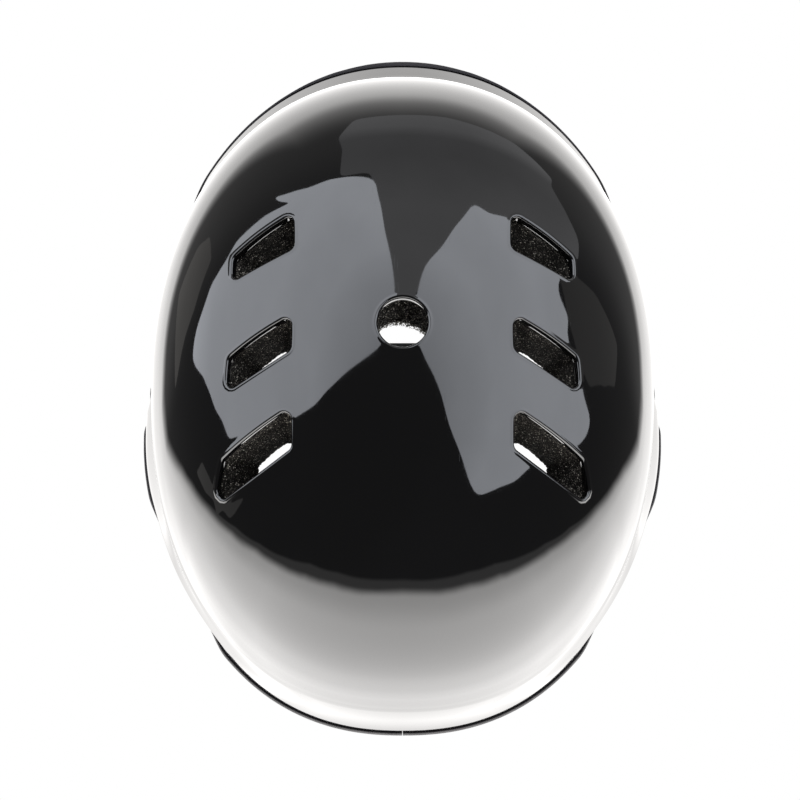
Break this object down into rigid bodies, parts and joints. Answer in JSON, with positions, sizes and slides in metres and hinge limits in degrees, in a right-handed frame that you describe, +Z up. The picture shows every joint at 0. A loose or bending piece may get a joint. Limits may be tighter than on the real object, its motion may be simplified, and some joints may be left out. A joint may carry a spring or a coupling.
{
  "type": "batting helmet",
  "caption": "Gloss black hard-shell double-flap batting helmet with a small brow lip, slanted side vents, a round crown hole, foam liner, comfort pads and a swinging chin strap.",
  "frame": {"origin": "on the surface that the helmet stands on, under the middle of its bounding box", "axes": "+Z up, front of the helmet towards -Y, wearer's left towards +X"},
  "size_m": [0.2316, 0.2922, 0.1815],
  "materials": {
    "shell_gloss": "high gloss black injection moulded plastic",
    "trim_rubber": "satin extruded rubber channel",
    "liner_foam": "moulded bead foam, black with light flecks",
    "pad_fabric": "brushed knit over soft foam",
    "hook_tape": "hook tape",
    "strap_webbing": "woven webbing",
    "strap_plastic": "fine satin moulded plastic",
    "keeper_elastic": "soft elastic loop",
    "chin_cup_plastic": "flexible satin plastic"
  },
  "bodies": {
    "helmet": {"outer_shell": "shell_gloss", "edge_trim": "trim_rubber", "crown_liner": "liner_foam", "front_liner": "liner_foam", "rear_liner": "liner_foam", "left_side_liner": "liner_foam", "right_side_liner": "liner_foam", "front_pad": "pad_fabric", "rear_pad": "pad_fabric", "crown_pad": "pad_fabric", "left_side_pad": "pad_fabric", "right_side_pad": "pad_fabric", "left_ear_pad": "pad_fabric", "right_ear_pad": "pad_fabric", "pad_hook_dots": "hook_tape", "strap_posts": "strap_plastic", "post_caps": "strap_plastic"},
    "chin_strap": {"left_strap_eyelet": "strap_plastic", "right_strap_eyelet": "strap_plastic", "left_webbing": "strap_webbing", "right_webbing": "strap_webbing"},
    "strap_adjuster": {"strap_slider": "strap_plastic"},
    "keeper_loop": {"strap_keeper": "keeper_elastic"},
    "chin_rest": {"chin_cup": "chin_cup_plastic", "chin_pad": "pad_fabric"}
  },
  "joints": [
    {"name": "strap_swing", "type": "hinge", "parent": "helmet", "child": "chin_strap", "pos_m": [0, -0.00688, 0.016], "axis": [1, 0, 0], "range_deg": [-80, 80]},
    {"name": "slider_travel", "type": "slide", "parent": "chin_strap", "child": "strap_adjuster", "axis": [1, 0, 0], "range_m": [0, 0.009]},
    {"name": "keeper_travel", "type": "slide", "parent": "chin_strap", "child": "keeper_loop", "axis": [-1, 0, 0], "range_m": [0, 0.008]},
    {"name": "chin_rest_travel", "type": "slide", "parent": "chin_strap", "child": "chin_rest", "axis": [1, 0, 0], "range_m": [-0.004, 0.004]}
  ]
}
